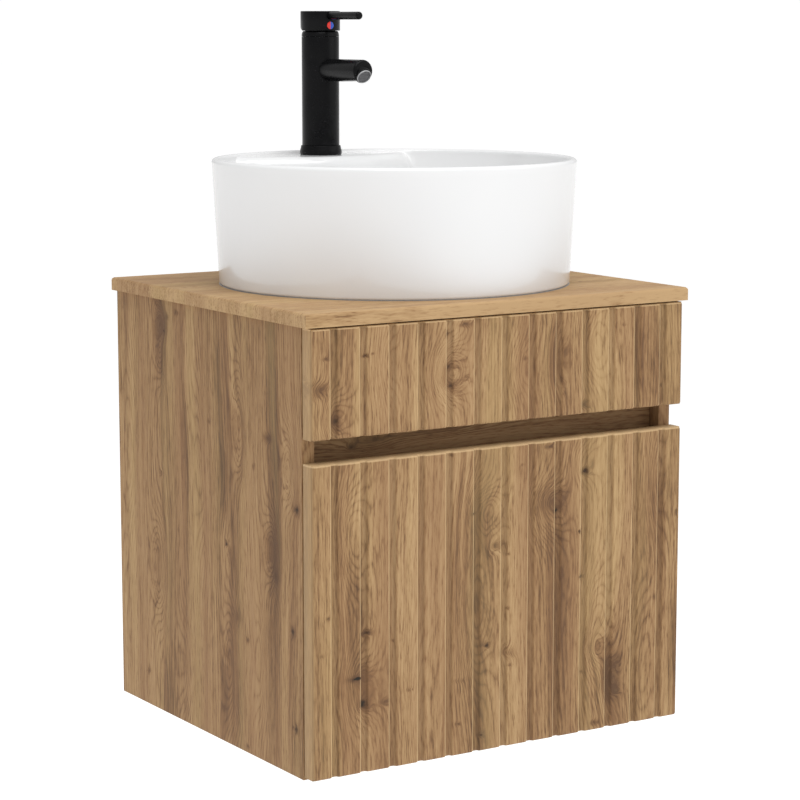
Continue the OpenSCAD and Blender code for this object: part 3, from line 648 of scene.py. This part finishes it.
def inner_profile(direction, reach, rim_z, lip_mid, lip_in):
    """Points from the lip's crest, at reach from the drain's middle, down to the drain's edge."""
    dx, dy = direction
    floor_z, deck_z = rim_z - FLOOR_DROP, rim_z - DECK_DROP
    t = np.linspace(0, 1, INNER_SAMPLES)
    dist = reach * (1 - t) + DRAIN_RADIUS * t
    x, y = dist * dx, DRAIN_Y + dist * dy
    rho = np.hypot(x, y)
    gap = DECK_RADIUS - np.hypot(x, y - DECK_CENTRE)
    z = smooth_max(bowl_height(rho, rim_z, floor_z, lip_in), deck_height(gap, deck_z, floor_z),
                   DECK_BLEND)
    crest = np.sqrt(np.maximum(RIM_ROUND ** 2 - (rho - lip_mid) ** 2, 0.0))
    lip = rim_z - RIM_ROUND + crest
    z = np.where(rho > lip_in, np.maximum(lip, np.minimum(z, rim_z)), z)
    z = np.where(dist < DRAIN_SEAT_RADIUS, np.minimum(z, floor_z - 2.5), z)
    # rows are spaced evenly by length, and closer where the surface turns
    length = np.hypot(np.diff(dist), np.diff(z))
    turn = np.abs(np.diff(np.unwrap(np.arctan2(np.diff(z), -np.diff(dist)))))
    weight = length + 6.0 * np.concatenate([[0], turn])
    along = np.concatenate([[0], np.cumsum(weight)])
    index = np.arange(INNER_SAMPLES)
    pick = np.interp(np.linspace(0, along[-1], INNER_ROWS), along, index)[1:]
    return [(np.interp(p, index, x), np.interp(p, index, y), float(np.interp(p, index, z)))
            for p in pick]


def basin(material):
    """The basin: its outer wall and lip, its inner surface, and a plain closed underside."""
    lo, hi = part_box("basin")
    foot_z, rim_z, r_top = lo.z / MM, hi.z / MM, hi.x / MM
    lip_mid, lip_in = r_top - RIM_ROUND, r_top - 2 * RIM_ROUND
    wall_z = foot_z + FOOT_ROUND
    outer = [(FOOT_RADIUS - 14, foot_z + 1.2), (FOOT_RADIUS - 12, foot_z)]
    outer += corner(FOOT_RADIUS - FOOT_ROUND, wall_z, FOOT_ROUND, -90, 0, 6)
    outer += [(FOOT_RADIUS + (r_top - FOOT_RADIUS) * t,
               wall_z + (rim_z - RIM_ROUND - foot_z - FOOT_ROUND) * t)
              for t in (0.1, 0.25, 0.4, 0.55, 0.7, 0.85, 0.95)]
    outer += corner(lip_mid, rim_z - RIM_ROUND, RIM_ROUND, 0, 90, 8)
    verts, faces = [], []
    for i in range(BASIN_COLUMNS):
        a = 2 * math.pi * i / BASIN_COLUMNS
        d = np.array([math.cos(a), math.sin(a)])
        # each column runs up the wall to the point where a ray from the drain meets the lip
        reach = -DRAIN_Y * d[1] + math.sqrt(lip_mid ** 2 - (DRAIN_Y * d[0]) ** 2)
        hit = np.array([0, DRAIN_Y]) + d * reach
        out = hit / np.linalg.norm(hit)
        column = [(out[0] * r, out[1] * r, z) for r, z in outer]
        column += inner_profile(d, reach, rim_z, lip_mid, lip_in)
        column.append((column[-1][0], column[-1][1], foot_z + 2))
        verts += column
    rows = len(verts) // BASIN_COLUMNS
    for i in range(BASIN_COLUMNS):
        j = (i + 1) % BASIN_COLUMNS
        faces += [(i * rows + k, j * rows + k, j * rows + k + 1, i * rows + k + 1)
                  for k in range(rows - 1)]
        faces.append((i * rows + rows - 1, j * rows + rows - 1, j * rows, i * rows))
    piece("basin_body", verts, faces, "cabinet", material, "basin_ceramic", ("basin",), smooth=60)


# ---------------------------------------------------------------- tap

# In mm, and degrees for the tilt. The outlet is the open face of the aerator.
SPOUT_REACH = 98.0
SPOUT_ROUND = 3.0
OUTLET_FORWARD = 99.5
OUTLET_Z = 732.4
OUTLET_TILT = 35.0
OUTLET_SETBACK = 2.4
TURNED_BORE = 17.6  # inner radius of the tap's turned parts
CAP_BORE = 21.0
CAP_ROOF = 5.0
CAP_CUT_START = 3.0  # behind the tap's axis by this much, the cap's underside starts to rise
CAP_CUT_ANGLE = 23
CAP_COLUMNS = 120
EAR_BOTTOM = 792
BOSS_BOTTOM = 797.5
LEVER_TIP_ROUND = 2.6


def at_outlet(part, axis_z=0.0):
    """A lathe whose Z axis is the outlet's axis and whose origin is the middle of its face."""
    tilt = Matrix.Rotation(math.radians(90 + OUTLET_TILT), 4, "X")
    return moved(part, Matrix.Translation((0, -OUTLET_FORWARD, OUTLET_Z - axis_z)) @ tilt)


def tap_place():
    """Where the tap's axis stands, in mm."""
    lo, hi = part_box("tap_body")
    return (lo.x + hi.x) / 2 / MM, (lo.y + hi.y) / 2 / MM


def at_tap(part, z=0.0):
    x, y = tap_place()
    return moved(part, Matrix.Translation((x, y, z)))


def forward(part):
    """A lathe along Z laid down so that it points out of the tap towards the basin."""
    return moved(part, Matrix.Rotation(math.radians(90), 4, "X"))


def turned_box(node):
    """Radius, bottom and top of a turned node, in mm."""
    lo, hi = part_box(node)
    return (hi.x - lo.x) / 2 / MM, lo.z / MM, hi.z / MM


def tap_pieces(black):
    """The flared base ring, the column and the stepped neck, as (radius, height) profiles."""
    _, z0, z1 = turned_box("tap_base_ring")
    base = [(17, z0 + 2), (22.5, z0 + 1.2), (23.0, z0)] + corner(23.2, z0 + 1.8, 1.8, -90, 0, 5)
    base += [(25.0, z0 + 4.0), (24.6, z0 + 6.0), (23.9, z0 + 8.6)]
    base += corner(23.0, z1 - 0.7, 0.7, 10, 90, 4) + [(17, z1), (17, z0 + 2)]
    piece("tap_base", *at_tap(lathe(base)), "cabinet", black, "tap_black", ("tap_base_ring",))

    r, z0, z1 = turned_box("tap_body")
    body = [(TURNED_BORE, z0)] + corner(r - 0.4, z0 + 0.4, 0.4, -90, 0, 3)
    body += [(r, z0 + 40), (r, z1 - 40)] + corner(r - 0.35, z1 - 0.35, 0.35, 0, 90, 3)
    body += [(TURNED_BORE, z1), (TURNED_BORE, z0)]
    piece("tap_column", *at_tap(lathe(body)), "cabinet", black, "tap_black", ("tap_body",))

    r, z0, z1 = turned_box("tap_neck_ring")
    neck = [(TURNED_BORE, z0 + 0.15), (r - 0.45, z0 + 0.15), (r - 0.1, z0 + 0.5)]
    for degrees in (12, 24, 36, 48, 60, 72, 82):
        a = math.radians(degrees)
        neck.append((r - 2.5 + 2.4 * math.cos(a), z0 + 0.5 + 6.1 * math.sin(a)))
    neck += [(18.3, z0 + 6.65), (18.3, z1 - 0.3), (18.0, z1), (TURNED_BORE, z1),
             (TURNED_BORE, z0 + 0.15)]
    piece("tap_neck", *at_tap(lathe(neck)), "cabinet", black, "tap_black", ("tap_neck_ring",))


def cap_underside(z0, behind):
    """Height of the cap's lower edge at a distance behind the tap's axis."""
    return z0 + max(0.0, (behind - CAP_CUT_START) * math.tan(math.radians(CAP_CUT_ANGLE)))


def handle_cap(black):
    """The hollow cap, its underside cut away behind so that it can tip back."""
    x, y = tap_place()
    r, z0, z1 = turned_box("tap_handle")
    ceiling = z1 - CAP_ROOF
    verts, faces = [], []
    for i in range(CAP_COLUMNS):
        a = 2 * math.pi * i / CAP_COLUMNS
        c, s = math.cos(a), math.sin(a)
        rim = cap_underside(z0, r * s)
        profile = [(0.01, z1), (r * 0.5, z1)]
        profile += reversed(corner(r - 1.0, z1 - 1.0, 1.0, 0, 90, 5))
        profile += [(r, rim + 0.6), (r - 0.18, rim + 0.18)]
        profile += [(r - 0.6, cap_underside(z0, (r - 0.6) * s))]
        profile += [(CAP_BORE, cap_underside(z0, CAP_BORE * s)), (CAP_BORE, ceiling)]
        profile += [(0.01, ceiling)]
        verts += [(radius * c, radius * s, z) for radius, z in profile]
    rows = len(verts) // CAP_COLUMNS
    for i in range(CAP_COLUMNS):
        j = (i + 1) % CAP_COLUMNS
        faces += [(i * rows + k, j * rows + k, j * rows + k + 1, i * rows + k + 1)
                  for k in range(rows - 1)]
    verts = [(vx + x, vy + y, vz) for vx, vy, vz in verts]
    # two ears on the pin, and the boss that holds the lever
    ears = [box_part(x + e * 6.8 - 2.2, x + e * 6.8 + 2.2, y - 4, y + 4, EAR_BOTTOM, ceiling + 1)
            for e in (-1, 1)]
    boss = box_part(x - 7, x + 7, y - 20.5, y - 13, BOSS_BOTTOM, ceiling + 1)
    verts, faces = join((verts, faces), *ears, boss)
    piece("handle_cap", verts, faces, "handle", black, "tap_black", ("tap_handle",), smooth=40)


def box_part(x0, x1, y0, y1, z0, z1):
    verts = [(x, y, z) for z in (z0, z1) for y in (y0, y1) for x in (x0, x1)]
    faces = [(0, 1, 3, 2), (4, 6, 7, 5), (0, 4, 5, 1), (2, 3, 7, 6), (0, 2, 6, 4), (1, 5, 7, 3)]
    return verts, faces


def lever(black):
    lo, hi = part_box("tap_lever")
    _, y = tap_place()
    r = (hi.x - lo.x) / 2 / MM
    axis_z, reach = (lo.z + hi.z) / 2 / MM, y - lo.y / MM
    rod = [(0, 14), (r, 14), (r, 30), (r, reach - 20)]
    rod += corner(r - LEVER_TIP_ROUND, reach - LEVER_TIP_ROUND, LEVER_TIP_ROUND, 0, 90, 7)
    rod += [(0, reach)]
    part = at_tap(forward(lathe(rod, 48)), axis_z)
    piece("lever_rod", *part, "handle", black, "tap_black", ("tap_lever",))


def trimmed(part, axis_z):
    """The bar's end cut back to the plane behind the aerator, so that the aerator stays open."""
    verts, faces = part
    tilt = math.radians(OUTLET_TILT)
    out = Vector((0, -math.cos(tilt), -math.sin(tilt)))
    face = Vector((0, -OUTLET_FORWARD, OUTLET_Z - axis_z))
    cut = []
    for p in verts:
        beyond = (Vector(p) - face).dot(out) + OUTLET_SETBACK
        cut.append(tuple(Vector(p) - out * max(0.0, beyond)))
    return cut, faces


def spout(black):
    """The round bar and the short nose that holds the aerator."""
    r, _, top = turned_box("tap_spout")
    axis_z = top - r
    bar = [(0, 18), (r, 18), (r, 50)]
    bar += corner(r - SPOUT_ROUND, SPOUT_REACH - SPOUT_ROUND, SPOUT_ROUND, 0, 90, 8)
    bar += [(radius, SPOUT_REACH) for radius in (8.5, 6.5, 3.5, 0)]
    nose = [(0, -18), (9.8, -18), (9.8, -2.4)] + corner(9.2, -2.1, 0.6, 0, 90, 4)
    nose += [(8.9, -1.5), (8.9, -6), (0, -6)]
    part = join(trimmed(forward(lathe(bar, 72)), axis_z), at_outlet(lathe(nose, 64), axis_z))
    piece("spout_bar", *at_tap(part, axis_z), "cabinet", black, "tap_black", ("tap_spout",))


def aerator(grey, screen):
    """The aerator's grey ring and the screen set back in it."""
    ring = [(8.0, -8), (8.0, -0.5)] + corner(8.35, -0.4, 0.4, 150, 30, 4)
    ring += [(8.8, -0.6), (8.8, -8), (8.0, -8)]
    disc = [(0, -0.9), (3, -0.92), (6, -1.0), (7.9, -1.2), (7.95, -6), (0, -6)]
    for name, profile, material, node in (("aerator_ring", ring, grey, "aerator_housing"),
                                          ("aerator_disc", disc, screen, "aerator_insert")):
        part = at_tap(at_outlet(lathe(profile, 64)))
        piece(name, *part, "cabinet", material, "aerator_plastic", (node,))


def indicator(name, node, material, slot, side):
    """Half of the round colour mark on the cap's front; side is -1 for left and 1 for right."""
    lo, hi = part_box(node)
    x, y = tap_place()
    z = (lo.z + hi.z) / 2 / MM
    r, depth, steps = 4.4, 23.75, 20
    verts, faces = [], []
    # (radius, distance in front of the tap's axis), from the rear to the slightly domed front
    rows = [(r, 22.0), (r, depth - 0.25), (r - 0.1, depth - 0.07), (r - 0.35, depth),
            (r * 0.5, depth + 0.03)]
    for radius, ahead in rows:
        for i in range(steps + 1):
            a = math.pi * i / steps - math.pi / 2
            verts.append((x + side * max(0.03, radius * math.cos(a)), y - ahead,
                          z + radius * math.sin(a)))
    centre = len(verts)
    verts.append((x + side * 0.03, y - depth - 0.03, z))
    n = steps + 1
    for k in range(len(rows) - 1):
        faces += [(k * n + i, k * n + i + 1, (k + 1) * n + i + 1, (k + 1) * n + i)
                  for i in range(steps)]
    last = (len(rows) - 1) * n
    faces += [(last + i, last + i + 1, centre) for i in range(steps)]
    starts = [k * n for k in range(len(rows))]
    faces.append((*starts, centre, *(k + steps for k in reversed(starts))))
    faces.append(tuple(range(n)))
    piece(name, verts, faces, "handle", material, slot, (node,))


# ---------------------------------------------------------------- waste


def waste(chrome):
    """The drain's flange and its domed push plug, as (radius, height) profiles over the seat."""
    lo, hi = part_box("waste_flange")
    place = Matrix.Translation((0, (lo.y + hi.y) / 2 / MM, 0))
    seat = hi.z / MM - 4
    ring = [(17.9, seat - 20), (19.4, seat - 20), (19.4, seat - 0.1), (34.4, seat)]
    ring += corner(34.2, seat + 0.8, 0.8, -60, 60, 4) + [(33.2, seat + 2.6), (31.6, seat + 3.6)]
    ring += corner(29.6, seat + 3.0, 1.0, 80, 110, 3)
    ring += [(22.5, seat + 3.4), (20.0, seat + 2.4), (18.2, seat + 0.4), (17.9, seat - 20)]
    part = moved(lathe(ring), place)
    piece("drain_flange", *part, "cabinet", chrome, "waste_chrome", ("waste_flange",))
    plug = [(0, seat - 45), (3.2, seat - 45), (4.0, seat - 44), (4.0, seat + 4.1)]
    plug += [(28.8, seat + 4.1)] + corner(29.2, seat + 5.0, 0.8, -90, 20, 4)
    plug += [(29.4, seat + 6.4), (28.0, seat + 7.4), (24, seat + 7.9)]
    plug += [(15, seat + 8.35), (7, seat + 8.55), (0, seat + 8.6)]
    part = moved(lathe(plug), place)
    piece("drain_plug", *part, "waste_plug", chrome, "waste_chrome", ("waste_plug",))


# ---------------------------------------------------------------- CAD nodes that keep their shape


def finish_node(node, material, ease):
    """A CAD node keeps its shape and gets its real material and eased edges."""
    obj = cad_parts[node]
    obj.data.materials.clear()
    obj.data.materials.append(material)
    obj.data.polygons.foreach_set("use_smooth", [True] * len(obj.data.polygons))
    weld = obj.modifiers.new("weld", "WELD")
    weld.merge_threshold = 1e-6  # in metres
    bevel = obj.modifiers.new("ease", "BEVEL")
    bevel.width, bevel.segments = ease * MM, 2
    bevel.limit_method, bevel.angle_limit = "ANGLE", math.radians(40)
    bevel.harden_normals = False
    normals = obj.modifiers.new("normals", "WEIGHTED_NORMAL")
    normals.weight = 90


# ---------------------------------------------------------------- room


def area_light(name, place, target, side, power):
    data = bpy.data.lights.new(name, "AREA")
    data.shape, data.size, data.size_y = "RECTANGLE", side, side
    data.energy = power
    obj = bpy.data.objects.new(name, data)
    obj.location = place
    obj.rotation_mode = "QUATERNION"
    obj.rotation_quaternion = (Vector(target) - Vector(place)).to_track_quat("-Z", "Y")
    bpy.context.scene.collection.objects.link(obj)


def camera():
    data = bpy.data.cameras.new("camera")
    data.lens, data.sensor_width = CAMERA_LENS, CAMERA_SENSOR
    obj = bpy.data.objects.new("camera", data)
    turn, tilt = math.radians(CAMERA_TURN), math.radians(CAMERA_TILT)
    aim = Vector((math.sin(turn) * math.cos(tilt), math.cos(turn) * math.cos(tilt),
                  math.sin(tilt)))
    obj.location = CAMERA_PLACE
    obj.rotation_mode = "QUATERNION"
    obj.rotation_quaternion = aim.to_track_quat("-Z", "Y")
    bpy.context.scene.collection.objects.link(obj)
    bpy.context.scene.camera = obj


def studio():
    """A white room that the camera sees as pure white, two soft lights, and a pale floor."""
    scene = bpy.context.scene
    scene.view_settings.view_transform = "Standard"
    world = bpy.data.worlds.new("studio")
    scene.world = world
    world.use_nodes = True
    tree = world.node_tree
    sky = tree.nodes["Background"]
    sky.inputs["Color"].default_value = (1, 1, 1, 1)
    path = tree.nodes.new("ShaderNodeLightPath")
    level = tree.nodes.new("ShaderNodeMapRange")
    level.inputs["To Min"].default_value = WORLD_LIGHT
    level.inputs["To Max"].default_value = WORLD_SEEN
    tree.links.new(path.outputs["Is Camera Ray"], level.inputs["Value"])
    tree.links.new(level.outputs[0], sky.inputs["Strength"])
    for light in LIGHTS:
        area_light(*light)

    paint = Shader("floor_paint")
    cloud = paint.noise(paint.coords, 40.0, 3.0)
    paint.set(Base_Color=paint.blend(cloud, (0.93, 0.93, 0.93), (0.96, 0.96, 0.96)),
              Roughness=0.85, Emission_Color=(1, 1, 1, 1), Emission_Strength=FLOOR_GLOW)
    mesh = bpy.data.meshes.new("floor")
    corners = [(x * FLOOR_HALF, y * FLOOR_HALF, FLOOR_Z)
               for x, y in ((-1, -1), (1, -1), (1, 1), (-1, 1))]
    mesh.from_pydata(corners, [], [(0, 1, 2, 3)])
    mesh.materials.append(paint.material)
    obj = bpy.data.objects.new("floor", mesh)
    scene.collection.objects.link(obj)


# ---------------------------------------------------------------- build

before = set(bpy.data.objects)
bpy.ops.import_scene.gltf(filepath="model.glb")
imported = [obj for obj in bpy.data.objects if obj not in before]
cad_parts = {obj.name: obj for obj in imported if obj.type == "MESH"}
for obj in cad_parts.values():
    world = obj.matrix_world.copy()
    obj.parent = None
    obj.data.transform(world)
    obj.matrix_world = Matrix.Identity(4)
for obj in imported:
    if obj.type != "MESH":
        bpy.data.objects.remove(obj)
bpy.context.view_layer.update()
camera()
studio()

oak_front = oak("oak_front", "x", "z", "y", FRONT_MARKS, FRONT_ARCHES, grooves=True)
# The side panels' tone of 0.05 is painted shade for panels turned away from the key light, and the
# countertop's tone of -0.30 is painted light for its face turned up to the top light.
oak_side = oak("oak_side", "y", "z", "x", SIDE_MARKS, SIDE_ARCHES, shift=2.7, tone=0.05, fine=0.6)
oak_top = oak("oak_top", "y", "x", "z", TOP_MARKS, TOP_ARCHES, shift=5.3, tone=-0.30, fine=0.7)
oak_rail = oak("oak_rail", "z", "x", "y", RAIL_MARKS, PLAIN_ARCHES, shift=8.1)
oak_box = oak("oak_box", "z", "y", "x", PLAIN_MARKS, PLAIN_ARCHES, shift=1.9)
oak_flat = oak("oak_flat", "y", "x", "z", PLAIN_MARKS, PLAIN_ARCHES, shift=4.4)
white = ceramic()
black = coated("matt_black", (0.0025, 0.0025, 0.003), (0.004, 0.004, 0.0045), 0.27, specular=0.13)
zinc = metal("zinc_plate", (0.62, 0.63, 0.66), 0.32)
rolled = metal("rolled_steel", (0.56, 0.57, 0.60), 0.28)
chrome = metal("polished_chrome", (0.80, 0.81, 0.83), 0.09, brush=200.0)
brass = metal("brass", (0.80, 0.58, 0.28), 0.30)
rubber = soft_plastic("black_rubber", (0.03, 0.03, 0.03), 0.7)
pad = soft_plastic("clear_pad", (0.72, 0.72, 0.72), 0.35)
# the sealant is painted dark grey, which also serves as a painted contact shadow along the basin's
# foot
sealant_shade = soft_plastic("sealant", (0.22, 0.21, 0.20), 0.4)
nylon = soft_plastic("nylon", (0.78, 0.78, 0.74), 0.45)
grey = soft_plastic("aerator_grey", (0.40, 0.405, 0.41), 0.3)
beech = oak("beech", "z", "x", "y", PLAIN_MARKS, PLAIN_ARCHES, shift=6.0, tone=-0.2)
red = coated("red_enamel", (0.80, 0.03, 0.02), (0.72, 0.025, 0.018), 0.22)
blue = coated("blue_enamel", (0.02, 0.11, 0.62), (0.018, 0.095, 0.54), 0.22)

grooved_front("upper_front_board", "upper_front", "cabinet", oak_front)
grooved_front("drawer_front_board", "drawer_front", "drawer", oak_front)
basin(white)
tap_pieces(black)
handle_cap(black)
lever(black)
spout(black)
aerator(grey, mesh_plastic())
indicator("red_mark", "indicator_red", red, "red_plastic", -1)
indicator("blue_mark", "indicator_blue", blue, "blue_plastic", 1)
waste(chrome)

# CAD nodes that keep their shape, by material
KEPT = [
    (oak_side, ["left_side_panel", "right_side_panel"]),
    (oak_flat, ["bottom_panel", "drawer_bottom"]),
    (oak_rail, ["back_top_rail", "back_bottom_rail", "front_top_rail", "grip_rail",
                "drawer_inner_front", "drawer_back"]),
    (oak_top, ["countertop"]),
    (oak_box, ["drawer_left_side", "drawer_right_side"]),
    (beech, ["carcass_dowels"]),
    (zinc, ["cam_bolts", "cam_locks", "countertop_brackets", "bracket_screws", "wall_hangers",
            "hanger_screws", "upper_front_screws", "drawer_front_screws", "drawer_screws",
            "slide_cabinet_screws", "slide_drawer_screws", "handle_pin"]),
    (rolled, ["slide_outer_left", "slide_outer_right", "slide_middle_left", "slide_middle_right",
              "slide_inner_left", "slide_inner_right", "ball_cages_outer", "ball_cages_inner"]),
    (pad, ["front_bumpers"]),
    (sealant_shade, ["basin_sealant"]),
    (chrome, ["waste_tail", "waste_nut"]),
    (rubber, ["waste_washer", "tap_gasket"]),
    (nylon, ["cartridge"]),
    (brass, ["cartridge_stem", "tap_shank", "tap_nut"]),
]
# screws, slides and these have thin walls or small edges, and get the finer easing (both in mm)
SMALL = {"ball_cages_outer", "ball_cages_inner", "basin_sealant", "tap_gasket", "handle_pin",
         "front_bumpers"}
SMALL_EASE, BOARD_EASE = 0.08, 0.4
for material, nodes in KEPT:
    for node in nodes:
        small = node in SMALL or "screw" in node or "slide" in node
        finish_node(node, material, SMALL_EASE if small else BOARD_EASE)
